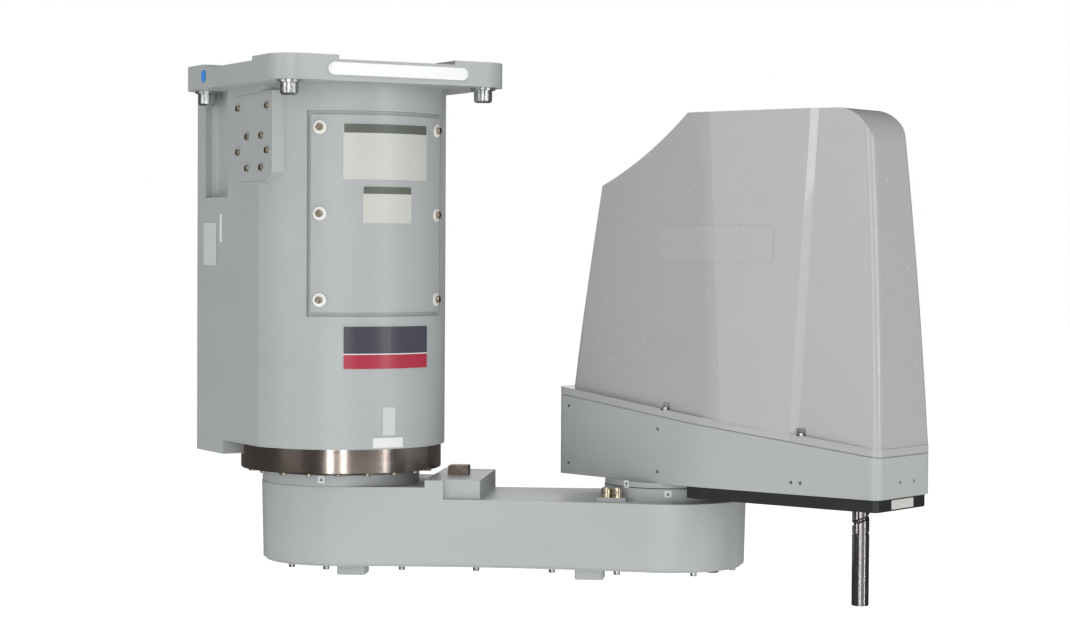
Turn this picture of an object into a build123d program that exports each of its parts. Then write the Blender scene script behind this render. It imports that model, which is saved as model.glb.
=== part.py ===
"""Ceiling-mounted SCARA robot with a base column, two arms and a ball screw spline shaft.

Millimetres. The origin is on the first joint's axis, at the ceiling mounting plane. +Z is up,
+X is the front of the base (its access cover) and the robot hangs down into -Z.
"""
import os
from math import atan2, cos, degrees, radians, sin, sqrt

from build123d import *

# Reach and rest pose
arm1_length = 325.0
arm2_length = 225.0
arm1_angle = 54.1
arm2_angle = 20.3

# Mounting plate
plate_side = 247.0
plate_corner = 25.0
plate_thick = 20.0
pad_side = 62.0
pad_height = 4.0
bolt_inset = 20.5
bolt_hole_r = 7.0
bolt_spacing = plate_side - 2 * bolt_inset
datum_inset = 48.5
datum_width = 13.0
datum_depth = 0.6

# Base column
column_inset = 20.5
column_r = plate_side / 2 - column_inset
column_half_width = column_r - 3.0
column_rear = column_r + 37.0
column_corner = 5.0
column_wall = 8.0
column_bottom = -374.5
column_floor = 12.5
column_roof = 10.0
skirt_drop = 14.0
skirt_front = 37.0 - column_r
pocket_front = 47.0 - bolt_spacing / 2
pocket_rear = -11.0 - bolt_spacing / 2
pocket_depth = 13.0
pocket_height = 107.0
pocket_corner = 8.0

# Access cover
cover_half_angle = 42.0
cover_top = -54.0
cover_height = 189.0
cover_thick = 3.0
cover_margin = 2.5
cover_frame = 4.0
cover_screw_angle = 37.0
cover_screw_inset = 12.0
cover_screw_rows = 3
cover_lip = 0.7
collar_r = 6.5
collar_thick = 1.6
opening_half_angle = 31.0
opening_inset = 12.0

# Side cable panel on its flat boss
panel_x = 9.5
panel_width = 87.5
panel_height = 84.8
panel_top = -32.2
panel_thick = 3.0
panel_gap = 0.2
panel_cut_x = 17.0
panel_cut_z = 9.5
panel_boss = 1.5
panel_border = 14.0
panel_outer_x = (-37.0, 34.5)
panel_outer_drop = (12.5, 55.7)
panel_inner_x = (-14.2, 20.5)
panel_inner_drop = (41.1, 71.9)

# Rear connector sockets
connector_z = -92.0
connector_pitch = 52.0
connector_r = 12.0
connector_length = 20.0
connector_tail = 10.0
connector_wall = 2.0
connector_pin_r = 7.0
connector_flange = 38.0
connector_flange_thick = 3.0
connector_flange_corner = 4.0
connector_screw_pitch = 28.0

# First joint
ring_r = column_r - 3.5
ring_bore_r = ring_r - 27.5
ring_height = 24.0
ring_screw_count = 20
ring_screw_circle = ring_r - 8.5
running_gap = 0.05
clear_gap = 0.3
output_thick = 13.5
output_bore_r = 30.0
motor_bore_r = ring_bore_r - 12.0
motor1_side = 2 * motor_bore_r - 40.0
motor1_height = 125.0
encoder1_height = 34.0

# Hard stops
stop_radius = ring_r + 19.5
stop_length = 20.0
stopper_height = 9.5
base_stop_width = 15.0
base_stop_length = 26.0
base_stop_height = 13.5
stop2_head_r = 5.2
stop2_head_height = 9.5
stop2_shank_r = 3.0
stop2_shank = 8.0
stop2_key_r = 2.5
stop2_pad = 3.5
lug_start = 12.0
lug_end = 80.0
lug_height = 8.5

# Arm 1
arm1_end_r = ring_bore_r + 5.0
arm1_waist = arm1_end_r - 12.7
arm1_bottom = -487.5
arm1_height = 63.5
arm1_draft = 1.3
arm1_wall = 7.0
boss1_r = arm1_end_r + 1.0
boss1_top = -401.5
shoulder_top = -412.5
plateau_top = -405.5
plateau_start = stop_radius - 24.0
shoulder_end = stop_radius - 6.0
plateau_end = stop_radius + 29.0
plateau_setback = 5.0
boss2_r = arm1_end_r - 16.5
boss2_height = 13.0
arm1_rib_thick = 5.0
arm1_rib_drop = 38.0
arm1_rib_shares = (0.29, 0.5, 0.72)
cover1_thick = 2.5
cover1_inset = 3.0
foot_length = 28.0
foot_width = 26.0
foot_height = 11.0
foot_inset = 9.3
foot_corner = 3.0
foot_spots = (20.3, arm1_length - 71.2)
cover1_near_angles = (124.6, 91.3)
cover1_far_angles = (63.4, 9.9)
cover1_side_shares = (0.22, 0.443, 0.671, 0.866)
cover1_screw_inset = 10.0
plug_r = 6.5
plug_height = 4.0
plug_x = arm1_length + 47.0
plug_y = -30.0

# Second joint
ring2_r = boss2_r - 0.5
ring2_height = 4.9
hub_r = 26.0
hub_bore_r = 12.0
hub_rise = 5.3
reducer2_r = 42.0
reducer2_height = 25.0
motor2_side = 60.0
motor2_height = 108.0
lug_r = boss2_r + 13.5
lug_gap = 1.0
stop2_spots = ((boss2_r + 13.8, -137.7), (boss2_r + 8.3, -130.3))
stop2_pad_sides = (14.0, 9.0)

# Arm 2 casting
arm2_bottom = -405.3
arm2_rear = -110.0
arm2_rear_half = 34.0
arm2_bend_x = 72.0
arm2_bend_half = 57.5
arm2_front = arm2_length + 47.0
arm2_front_half = 46.5
arm2_rear_corner = 8.0
arm2_bend_r = 150.0
arm2_front_corner = 9.0
arm2_wall = 5.0
arm2_floor = 8.0
web_spots = (60.0, 120.0)
web_thick = 4.0
web_height = 14.0
ear_r = 6.0
ear_height = 28.0
parting_z = -338.0
parting_slope = 0.109
tapped_r = 1.7
tapped_depth = 3.5
front_hole_pitch = 24.0
front_hole_y = 3.5
front_hole_rise = 14.0
side_hole_rise = 11.0

# Black cover under arm 2
cover2_depth = 11.7
cover2_wall = 2.5
cover2_inset = 3.0
cover2_rear_r = boss2_r + 23.5
shaft_hole_r = 11.0

# Hood
hood_top = -50.0
hood_base = -375.0
hood_wall = 2.5
hood_rear_corner = 9.0
hood_bend_r = 120.0
hood_step_r = 3.0
hood_front_corner = 8.0
hood_base_plan = (
    (-105.5, 28.5), (95.0, 57.7), (arm2_length - 47, 52.8), (arm2_length - 39, 48.0), (arm2_length + 47, 47.2))
hood_top_plan = (
    (-63.5, 22.0), (68.0, 43.5), (arm2_length - 35, 38.0), (arm2_length - 27, 33.8), (arm2_length + 24.9, 31.0))
hood_front_bulge = 2.4
hood_side_rear_base = (-107.2, hood_base)
hood_side_shoulder = (-63.0, -118.0)
hood_side_brow = (53.0, hood_top)
hood_brow_sag = -5.2
hood_side_nose = (arm2_length + 25.1, hood_top)
hood_side_front_base = (arm2_length + 55.6, hood_base)
hood_nose_r = 39.0
rim_height = 8.0
seam_height = 1.0
seam_depth = 1.2
hood_screw_x = (35.0, arm2_length - 35.5)
hood_screw_inset = 4.2
hood_screw_shank = 14.0
hood_post_r = 8.0
screw_relief_r = 4.8
screw_relief_height = 7.5

# Shaft, its nuts and its drives
shaft_r = 8.0
shaft_bottom = -509.0
shaft_top = -85.0
shaft_plain = 66.0
shaft_relief = 0.5
shaft_relief_height = 1.5
shaft_ground = 0.03
shaft_hole_depth = 8.0
groove_r = 1.3
spline_count = 3
collar2_r = 14.0
collar2_height = 10.0
nut_r = 16.0
spline_nut_bottom = -411.0
spline_nut_top = -357.0
bearing_r = 26.0
bearing_flange_r = 33.0
bearing_flange = 5.0
bearing_height = 17.0
retainer_height = 3.0
bracket_top = -314.0
bracket_thick = 12.0
bracket_rear_x = arm2_length - 155.0
bracket_front_x = arm2_length + 32.0
bracket_half = 36.0
bracket_corner = 10.0
post_r = 5.0
post_spots = ((arm2_length - 143, 29.0), (arm2_length - 85, 29.0), (arm2_length + 25, 30.0))
ball_nut_top = -298.0
ball_nut_drop = 22.0
pulley_r = 22.0
pulley_width = 14.0
pulley_flange = 1.5
belt_thick = 2.2
theta_motor_x = arm2_length - 65.0
theta_motor_side = 40.0
theta_motor_height = 84.0
theta_pulley_r = 11.0
theta_motor_shaft_r = 4.0
z_motor_x = arm2_length - 120.0
z_motor_side = 56.0
z_motor_height = 124.0
z_pulley_r = 14.5
z_motor_shaft_r = 7.0
motor_hole_gap = 6.0

# Screw sizes
screw_head_r = 3.5
screw_head_height = 3.0
screw_shank_r = 2.0
screw_shank = 5.0
panel_screw_head_r = 3.2
panel_screw_head = 2.6
cover1_screw_head = 4.0

# Levels worked out from the sizes above
plate_bottom = -pad_height - plate_thick
skirt_bottom = column_bottom - skirt_drop
ring_bottom = column_bottom - ring_height
arm1_top = arm1_bottom + arm1_height
boss2_top = arm1_top + boss2_height
ring2_bottom = arm2_bottom - ring2_height
arm2_floor_top = arm2_bottom + arm2_floor
cover2_bottom = arm2_bottom - cover2_depth
cover_bottom = cover_top - cover_height
cover1_bottom = arm1_bottom - cover1_thick
bracket_bottom = bracket_top - bracket_thick
theta_belt_z = arm2_floor_top + bearing_height + bearing_flange + 1.0
z_belt_z = bracket_bottom - pulley_width - 4.0
plain_top = shaft_bottom + shaft_plain

MIN_Z = (Align.CENTER, Align.CENTER, Align.MIN)
arm1_frame = Rot(0, 0, arm1_angle)
joint2_x = arm1_length * cos(radians(arm1_angle))
joint2_y = arm1_length * sin(radians(arm1_angle))
arm2_frame = Pos(joint2_x, joint2_y, 0) * Rot(0, 0, arm2_angle)


# Small building blocks
def rod(radius, z_low, z_high, x=0.0, y=0.0):
    """Upright cylinder between two levels."""
    return Pos(x, y, z_low) * Cylinder(radius, z_high - z_low, align=MIN_Z)


def tube(outer, inner, z_low, z_high, x=0.0, y=0.0):
    """Upright tube between two levels."""
    return rod(outer, z_low, z_high, x, y) - rod(inner, z_low - 1, z_high + 1, x, y)


def block(x_low, x_high, y_low, y_high, z_low, z_high):
    """Box between its two extreme corners."""
    size = Box(x_high - x_low, y_high - y_low, z_high - z_low)
    return Pos((x_low + x_high) / 2, (y_low + y_high) / 2, (z_low + z_high) / 2) * size


def prism(face, z_low, z_high, taper=0.0):
    """Outline in plan raised between two levels."""
    return extrude(Pos(0, 0, z_low) * face, z_high - z_low, taper=taper)


def sector(outer, inner, half_angle, z_low, z_high):
    """Part of an upright tube around +X."""
    reach = outer * 2
    edge = reach * sin(radians(half_angle))
    front = reach * cos(radians(half_angle))
    wedge = make_face(Polyline((0, 0), (front, edge), (reach, 0), (front, -edge), close=True))
    return tube(outer, inner, z_low, z_high) & prism(wedge, z_low, z_high)


def screw(head_r=screw_head_r, head=screw_head_height, shank=screw_shank, shank_r=screw_shank_r):
    """Cap screw along +Z, its head's seat at the origin."""
    cap = Cylinder(head_r, head, align=MIN_Z)
    cap = chamfer(cap.edges().group_by(Axis.Z)[-1], head * 0.22)
    return cap + rod(shank_r, -shank, 0)


def screw_hole(radius=screw_shank_r, depth=screw_shank):
    """Blind hole under a screw's seat, along -Z."""
    return rod(radius, -depth - 0.5, 1)


def both_sides(spots):
    """Each spot and its mirror image across the arm's centre plane."""
    return [(x, side * y) for x, y in spots for side in (-1, 1)]


def loop_face(x_a, r_a, x_b, r_b):
    """Outline of a band around two circles on the X axis, the first one at the smaller x."""
    lean = (r_a - r_b) / (x_b - x_a)
    rise = sqrt(1 - lean * lean)
    a_top = (x_a + r_a * lean, r_a * rise)
    a_low = (x_a + r_a * lean, -r_a * rise)
    b_top = (x_b + r_b * lean, r_b * rise)
    b_low = (x_b + r_b * lean, -r_b * rise)
    edges = [Line(a_top, b_top), ThreePointArc(b_top, (x_b + r_b, 0), b_low)]
    edges += [Line(b_low, a_low), ThreePointArc(a_low, (x_a - r_a, 0), a_top)]
    return make_face(edges)


# Base
def column_plan(inset=0.0):
    """Column outline: round front, flat sides, square rear."""
    front = Circle(column_r - inset) & Rectangle(2 * column_r, 2 * (column_half_width - inset))
    depth = column_rear - inset
    rear = Pos(-depth / 2, 0) * Rectangle(depth, 2 * (column_half_width - inset))
    corners = rear.vertices().group_by(Axis.X)[0]
    rear = fillet(corners, max(column_corner - inset, 1.0))
    return front + rear


def cover_screw_places():
    """Seat of each access cover screw, pointing out of the column."""
    rows = cover_screw_rows - 1
    span = cover_height - 2 * cover_screw_inset
    seat = column_r - cover_margin + cover_thick
    places = []
    for side in (-1, 1):
        for row in range(cover_screw_rows):
            height = cover_top - cover_screw_inset - span * row / rows
            turn = Rot(0, 0, side * cover_screw_angle) * Pos(seat - 0.7, 0, height)
            places.append(turn * Rot(0, 90, 0))
    return places


def panel_screw_places():
    """Seats of the side panel's outer and inner screws, pointing to -Y."""
    spots = [(x, drop) for x in panel_outer_x for drop in panel_outer_drop]
    spots += [(x, drop) for x in panel_inner_x for drop in panel_inner_drop]
    return [Pos(panel_x + x, -column_half_width, panel_top - drop) * Rot(90, 0, 0) for x, drop in spots]


def connector_places():
    """Seats of the two rear sockets, pointing to -X."""
    sides = (-connector_pitch / 2, connector_pitch / 2)
    return [Pos(-column_rear, y, connector_z) * Rot(0, -90, 0) for y in sides]


def connector_screw_places():
    """Seats of the sockets' flange screws, pointing to -X."""
    half = connector_screw_pitch / 2
    corners = [(x, y) for x in (-half, half) for y in (-half, half)]
    return [place * Pos(x, y, connector_flange_thick) for place in connector_places() for x, y in corners]


def ring_screw_places():
    """Seats of the screws under the first joint's ring, pointing down."""
    step = 360.0 / ring_screw_count
    turns = [Rot(0, 0, step * (i + 0.5)) for i in range(ring_screw_count)]
    return [turn * Pos(ring_screw_circle, 0, ring_bottom) * Rot(180, 0, 0) for turn in turns]


def panel_plan(inset=0.0):
    """Side panel outline in the XZ plane, its lower front corner cut off."""
    rear = panel_x - panel_width / 2 + inset
    front = panel_x + panel_width / 2 - inset
    top = panel_top - inset
    low = panel_top - panel_height + inset
    points = [(rear, top), (front, top), (front, low + panel_cut_z), (front - panel_cut_x, low), (rear, low)]
    return Plane.XZ * make_face(Polyline(*points, close=True))


def from_side(face, depth, length):
    """Outline of the flat side raised along -Y from a depth behind the side."""
    return Pos(0, -column_half_width + depth, 0) * extrude(face, length)


def make_mounting_plate():
    """Plate with a raised pad at each corner."""
    outline = RectangleRounded(plate_side, plate_side, plate_corner)
    plate = prism(outline, plate_bottom, -pad_height)
    middle = plate_side / 2 - pad_side / 2
    for x in (-middle, middle):
        for y in (-middle, middle):
            plate += prism(outline & Pos(x, y) * Rectangle(pad_side, pad_side), -pad_height, 0)
    return plate


def make_base_casting():
    body = make_mounting_plate() + prism(column_plan(), column_bottom, plate_bottom)
    rear = column_plan() & Pos(skirt_front - column_r, 0) * Rectangle(2 * column_r, 4 * column_r)
    body += prism(rear - Circle(ring_r + clear_gap), skirt_bottom, column_bottom)
    boss_depth = 2.5 * column_wall
    body += from_side(panel_plan(-panel_boss), boss_depth, boss_depth)
    cavity = prism(column_plan(column_wall), column_bottom + column_floor, plate_bottom - column_roof)
    for side in (-1, 1):
        cavity -= bolt_pocket(side, column_wall)
    body -= cavity
    body -= rod(motor_bore_r, column_bottom - 1, column_bottom + column_floor + 1)
    pocket_r = column_r - cover_margin
    low, high = cover_bottom - cover_frame, cover_top + cover_frame
    frame_half = cover_half_angle + degrees(cover_frame / column_r)
    body -= sector(column_r + 9, pocket_r, frame_half, low, high)
    low, high = cover_bottom + opening_inset, cover_top - opening_inset
    body -= sector(column_r + 9, column_r - 20, opening_half_angle, low, high)
    for side in (-1, 1):
        body -= bolt_pocket(side)
    body -= from_side(panel_plan(), panel_thick, 20)
    body -= from_side(panel_plan(panel_border), boss_depth + 2, boss_depth + 4)
    datum = Plane.YZ * SlotOverall(plate_side - 2 * datum_inset, datum_width)
    body -= Pos(plate_side / 2 - datum_depth, 0, plate_bottom + plate_thick / 2) * extrude(datum, 5)
    for x in (-bolt_spacing / 2, bolt_spacing / 2):
        for y in (-bolt_spacing / 2, bolt_spacing / 2):
            body -= rod(bolt_hole_r, plate_bottom - 1, 1, x, y)
    for place in connector_places():
        body -= place * rod(connector_r + clear_gap, -column_wall - 1, 1)
    for place in cover_screw_places() + connector_screw_places():
        body -= place * screw_hole()
    return body


def bolt_pocket(side, grow=0.0):
    """Clearance in a side face for a mounting bolt and its key, grown on every hidden side."""
    y_far = column_half_width + 12
    y_near = column_half_width - pocket_depth - grow
    low, high = sorted((side * y_near, side * y_far))
    bottom = plate_bottom - pocket_height - grow
    shape = block(pocket_rear - grow, pocket_front + grow, low, high, bottom, plate_bottom)
    inner = shape.faces().sort_by(Axis.Y)[0 if side > 0 else -1].edges()
    keep = [edge for edge in inner if abs(edge.center().Z - plate_bottom) > 1]
    return fillet(keep, pocket_corner + grow)


def make_access_cover():
    inner = column_r - cover_margin
    cover = sector(inner + cover_thick, inner, cover_half_angle, cover_bottom, cover_top)
    for place in cover_screw_places():
        cover -= place * screw_hole()
    return cover


def make_cover_collars():
    ring = tube(collar_r, screw_shank_r, 0, collar_thick)
    ring = chamfer(ring.edges().group_by(Axis.Z)[-1].sort_by(SortBy.RADIUS)[-1:], 0.5)
    return [place * Pos(0, 0, cover_lip) * ring for place in cover_screw_places()]


def make_cover_screws():
    one = screw(shank=screw_shank + cover_lip)
    return [place * Pos(0, 0, cover_lip + collar_thick) * one for place in cover_screw_places()]


def make_cable_panel():
    panel = from_side(panel_plan(panel_gap), panel_thick, panel_thick)
    for place in panel_screw_places():
        panel -= place * screw_hole(depth=panel_thick)
    return panel


def make_panel_screws():
    one = screw(panel_screw_head_r, panel_screw_head, panel_thick - panel_gap)
    return [place * one for place in panel_screw_places()]


def make_connectors():
    flange = RectangleRounded(connector_flange, connector_flange, connector_flange_corner)
    socket = prism(flange, 0, connector_flange_thick)
    socket += rod(connector_r, -connector_tail, connector_length)
    socket -= rod(connector_r - connector_wall, connector_flange_thick, connector_length + 1)
    socket += rod(connector_pin_r, 0, connector_length - 2 * connector_wall)
    half = connector_screw_pitch / 2
    for x in (-half, half):
        for y in (-half, half):
            socket -= rod(screw_shank_r, -1, connector_flange_thick + 1, x, y)
    return [place * socket for place in connector_places()]


def make_j1_ring():
    ring = tube(ring_r, ring_bore_r, ring_bottom, column_bottom)
    ring = chamfer(ring.edges().group_by(Axis.Z)[0].sort_by(SortBy.RADIUS)[-1:], 0.8)
    for place in ring_screw_places():
        ring -= place * screw_hole()
    return ring


def make_j1_reducer():
    low = boss1_top + output_thick + clear_gap
    return tube(ring_bore_r - clear_gap, output_bore_r, low, column_bottom)


def make_j1_motor():
    low = column_bottom
    top = low + motor1_height
    side = motor1_side
    body = prism(RectangleRounded(side, side, side / 10), low, top)
    body += prism(RectangleRounded(side * 0.85, side * 0.85, side / 10), top, top + encoder1_height)
    body += block(side / 2 - 1, side / 2 + 0.2 * side, -0.15 * side, 0.15 * side, top - 30, top - 4)
    return body


def make_base_stop():
    low = skirt_bottom - base_stop_height
    x_low = -stop_radius - base_stop_length / 2
    stop = block(x_low, x_low + base_stop_length, -base_stop_width / 2, base_stop_width / 2, low, skirt_bottom)
    return chamfer(stop.edges().group_by(Axis.Z)[0], 1.0)


# Arm 1, in its own frame: first joint at the origin, second joint on +X
def arm1_outline(inset=0.0):
    """Two round ends joined by sides that curve in to a waist."""
    end = arm1_end_r - inset
    waist = arm1_waist - inset
    mid = arm1_length / 2
    side_r = (mid ** 2 + waist ** 2 - end ** 2) / (2 * (end - waist))
    lean = atan2(mid, waist + side_r)
    x = end * sin(lean)
    y = end * cos(lean)
    far = arm1_length - x
    edges = [ThreePointArc((x, y), (mid, waist), (far, y))]
    edges += [ThreePointArc((far, y), (arm1_length + end, 0), (far, -y))]
    edges += [ThreePointArc((far, -y), (mid, -waist), (x, -y))]
    edges += [ThreePointArc((x, -y), (-end, 0), (x, y))]
    return make_face(edges)


def arm1_half(x, inset):
    """Half width of the inset outline of arm 1 at one station."""
    end = arm1_end_r - inset
    waist = arm1_waist - inset
    mid = arm1_length / 2
    side_r = (mid ** 2 + waist ** 2 - end ** 2) / (2 * (end - waist))
    edge = end * sin(atan2(mid, waist + side_r))
    if x < edge:
        return sqrt(end ** 2 - x ** 2)
    if x > arm1_length - edge:
        return sqrt(end ** 2 - (x - arm1_length) ** 2)
    return waist + side_r - sqrt(side_r ** 2 - (x - mid) ** 2)


def cover1_screw_places():
    """Seats of the bottom cover's screws, pointing down."""
    end = arm1_end_r - cover1_screw_inset
    near = [(end * cos(radians(a)), end * sin(radians(a))) for a in cover1_near_angles]
    far = [(arm1_length + end * cos(radians(a)), end * sin(radians(a))) for a in cover1_far_angles]
    stations = [share * arm1_length for share in cover1_side_shares]
    sides = [(x, arm1_half(x, cover1_screw_inset)) for x in stations]
    spots = both_sides(near + sides + far)
    return [Pos(x, y, cover1_bottom) * Rot(180, 0, 0) for x, y in spots]


def stop2_places():
    """Middle of each stop bolt of the second joint."""
    spots = [(r * cos(radians(a)), r * sin(radians(a))) for r, a in stop2_spots]
    return [(arm1_length + x, y) for x, y in spots]


def make_arm1_casting():
    reach = 3 * arm1_end_r
    high = plateau_top + 1
    body = prism(arm1_outline(), arm1_bottom, plateau_top, taper=-arm1_draft)
    body -= block(-reach, plateau_start, -reach, reach, shoulder_top, high)
    body -= block(plateau_end, arm1_length + reach, -reach, reach, arm1_top, high)
    strip = Pos((shoulder_end + plateau_end) / 2, 0) * Rectangle(plateau_end - shoulder_end, reach)
    body -= prism(strip - arm1_outline(plateau_setback - 1.5), arm1_top, high)
    body += rod(boss1_r, shoulder_top, boss1_top)
    body += rod(boss2_r, arm1_top, boss2_top, arm1_length)
    pad_x, pad_y = (sum(values) / 2 for values in zip(*stop2_places()))
    half_x, half_y = stop2_pad_sides
    low, high = pad_y - half_y, pad_y + half_y
    body += block(pad_x - half_x, pad_x + half_x, low, high, arm1_top, arm1_top + stop2_pad)
    roof = arm1_top - arm1_wall
    cavity = prism(arm1_outline(arm1_wall), arm1_bottom, roof)
    for x in [share * arm1_length for share in arm1_rib_shares]:
        low = roof - arm1_rib_drop
        cavity -= block(x, x + arm1_rib_thick, -arm1_end_r, arm1_end_r, low, roof)
    body -= cavity
    body -= rod(output_bore_r, roof - 1, boss1_top + 1)
    body -= rod(hub_bore_r, roof - 1, boss2_top + 1, arm1_length)
    for x, y in stop2_places():
        body -= rod(stop2_shank_r, roof - 1, arm1_top + stop2_pad + 1, x, y)
    return body


def make_j1_output_flange():
    return tube(ring_bore_r - running_gap, output_bore_r, boss1_top, boss1_top + output_thick)


def make_j1_stopper():
    half = stop_length / 2
    top = plateau_top + stopper_height
    stop = block(stop_radius - half, stop_radius + half, -half, half, plateau_top, top)
    return chamfer(stop.edges().group_by(Axis.Z)[-1], 1.2)


def make_arm1_bottom_cover():
    cover = prism(arm1_outline(cover1_inset), cover1_bottom, arm1_bottom)
    for place in cover1_screw_places():
        cover -= place * screw_hole(depth=cover1_thick)
    return cover - rod(plug_r - 2, arm1_bottom - plug_height, arm1_bottom + 1, plug_x, plug_y)


def make_arm1_feet():
    feet = []
    middle = arm1_waist - foot_inset - foot_width / 2
    for x, y in both_sides([(x, middle) for x in foot_spots]):
        plan = Pos(x, y) * RectangleRounded(foot_length, foot_width, foot_corner)
        foot = prism(plan, cover1_bottom - foot_height, cover1_bottom)
        feet.append(chamfer(foot.edges().group_by(Axis.Z)[0], 1.0))
    return feet


def make_arm1_cover_screws():
    return [place * screw(panel_screw_head_r, cover1_screw_head, cover1_thick) for place in cover1_screw_places()]


def make_arm1_plug():
    plug = rod(plug_r, cover1_bottom - plug_height, cover1_bottom, plug_x, plug_y)
    plug = fillet(plug.edges().group_by(Axis.Z)[0], 1.2)
    return plug + rod(plug_r - 2, cover1_bottom, arm1_bottom, plug_x, plug_y)


def make_j2_hub():
    top = arm2_floor_top + hub_rise
    return tube(hub_r, hub_bore_r, boss2_top, top, arm1_length)


def make_j2_stop_bolts():
    bolt = screw(stop2_head_r, stop2_head_height, stop2_shank, stop2_shank_r)
    bolt -= rod(stop2_key_r, stop2_head_height - 4, stop2_head_height + 1)
    return [Pos(x, y, arm1_top + stop2_pad) * bolt for x, y in stop2_places()]


# Arm 2, in its own frame: second joint at the origin, shaft on +X
def arm2_outline(inset=0.0):
    """Arm 2 in plan: narrow rear, widest at the bend, square nose."""
    points = [(arm2_rear, arm2_rear_half), (arm2_bend_x, arm2_bend_half), (arm2_front, arm2_front_half)]
    radii = (arm2_rear_corner, arm2_bend_r, arm2_front_corner)
    face = rounded_plan(points, radii)
    return offset(face, -inset) if inset else face


def rounded_plan(points, radii):
    """Closed plan from one side's points and their mirror images, each corner rounded."""
    mirrored = [(x, -y) for x, y in reversed(points)]
    face = make_face(Polyline(*points, *mirrored, close=True))
    for (x, y), radius in zip(points, radii):
        picks = [v for v in face.vertices() if abs(v.X - x) < 0.01 and abs(abs(v.Y) - abs(y)) < 0.01]
        face = fillet(picks, radius)
    return face


def parting_plane(lift=0.0):
    """Sloping plane where the hood meets the casting."""
    return Plane(origin=(0, 0, parting_z + lift), x_dir=(1, 0, -parting_slope), z_dir=(parting_slope, 0, 1))


def below(shape, lift=0.0):
    """What of a shape lies under the parting plane."""
    return split(shape, bisect_by=parting_plane(lift), keep=Keep.BOTTOM)


def above(shape, lift=0.0):
    """What of a shape lies over the parting plane."""
    return split(shape, bisect_by=parting_plane(lift), keep=Keep.TOP)


def arm2_half(x):
    """Half width of arm 2 at one station, its corners not rounded."""
    if x < arm2_bend_x:
        share = (x - arm2_rear) / (arm2_bend_x - arm2_rear)
        return arm2_rear_half + share * (arm2_bend_half - arm2_rear_half)
    share = (x - arm2_bend_x) / (arm2_front - arm2_bend_x)
    return arm2_bend_half + share * (arm2_front_half - arm2_bend_half)


def side_hole_places():
    """Mouths of the tapped holes in the casting's sides, pointing out."""
    low = arm2_bottom + side_hole_rise
    spots = [(arm2_rear + 15, low), (arm2_rear + 15, low + 57), (28.0, low), (28.0, low + 41)]
    spots += [(arm2_length - 43.4, low), (arm2_length - 33.6, low)]
    places = []
    for x, z in spots:
        for side in (-1, 1):
            places.append(Pos(x, side * arm2_half(x), z) * Rot(-90 * side, 0, 0))
    return places


def front_hole_places():
    """Mouths of the tapped holes in the casting's front face."""
    level = arm2_bottom + front_hole_rise
    offsets = [side * front_hole_pitch + front_hole_y for side in (-0.5, 0.5)]
    return [Pos(arm2_front, y, level) * Rot(0, 90, 0) for y in offsets]


def make_arm2_casting():
    high = parting_z + 4 * ear_r
    body = below(prism(arm2_outline(), arm2_bottom, high))
    cavity = prism(arm2_outline(arm2_wall), arm2_floor_top, high)
    for x in web_spots:
        web_top = arm2_floor_top + web_height
        cavity -= block(x, x + web_thick, -arm2_bend_half, arm2_bend_half, arm2_floor_top, web_top)
    body -= cavity
    body -= rod(hub_r + clear_gap, arm2_bottom - 1, arm2_floor_top + 1)
    body -= rod(bearing_r, arm2_bottom - 1, arm2_floor_top + 1, arm2_length)
    for place in side_hole_places() + front_hole_places():
        body -= place * rod(tapped_r, -tapped_depth, 1)
    for x, y, seat in hood_screw_spots():
        ear = prism(arm2_outline(0.5), seat - ear_height, high) & rod(ear_r, seat - ear_height, high, x, y)
        body += below(ear)
        body -= rod(screw_shank_r, seat - hood_screw_shank - 1, high, x, y)
    return body


def make_j2_ring():
    return tube(ring2_r, hub_r + running_gap, ring2_bottom, arm2_bottom)


def make_j2_stop_lug():
    half = (lug_end - lug_start) / 2
    lug = sector(lug_r, boss2_r + lug_gap, half, arm2_bottom - lug_height, arm2_bottom)
    return Rot(0, 0, lug_start + half) * lug


def make_arm2_bottom_cover():
    plan = arm2_outline(cover2_inset) - Circle(cover2_rear_r)
    plan = plan & Pos(arm2_front, 0) * Rectangle(2 * arm2_front - 60, 4 * arm2_bend_half)
    inner = arm2_outline(cover2_inset + cover2_wall) - Circle(cover2_rear_r + cover2_wall)
    inner = inner & Pos(arm2_front, 0) * Rectangle(2 * arm2_front - 60, 4 * arm2_bend_half)
    cover = prism(plan, cover2_bottom, arm2_bottom)
    cover = chamfer(cover.edges().group_by(Axis.Z)[0], 0.8)
    cover -= prism(inner, cover2_bottom + cover2_wall, arm2_bottom + 1)
    return cover - rod(shaft_hole_r, cover2_bottom - 1, cover2_bottom + 5, arm2_length)


def hood_screw_spots():
    """Position and seat level of each screw that holds the hood down."""
    spots = both_sides([(x, arm2_half(x) - hood_screw_inset) for x in hood_screw_x])
    return [(x, y, parting_z - parting_slope * x + rim_height - 1.0) for x, y in spots]


def hood_side_face():
    """Side profile of the hood: leaning rear, hollow brow, flat top, round nose."""
    brow = Vector(*hood_side_brow)
    shoulder = Vector(*hood_side_shoulder)
    chord = brow - shoulder
    middle = (brow + shoulder) * 0.5 + Vector(-chord.Y, chord.X) * (hood_brow_sag / chord.length)
    edges = [Line(hood_side_rear_base, hood_side_shoulder), ThreePointArc(shoulder, middle, brow)]
    edges += [Line(brow, hood_side_nose), Line(hood_side_nose, hood_side_front_base)]
    edges += [Line(hood_side_front_base, hood_side_rear_base)]
    side = make_face(edges)
    nose = side.vertices().filter_by(lambda v: abs(v.X - hood_side_nose[0]) < 0.01 and v.Y > hood_top - 1)
    return fillet(nose, hood_nose_r)


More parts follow.
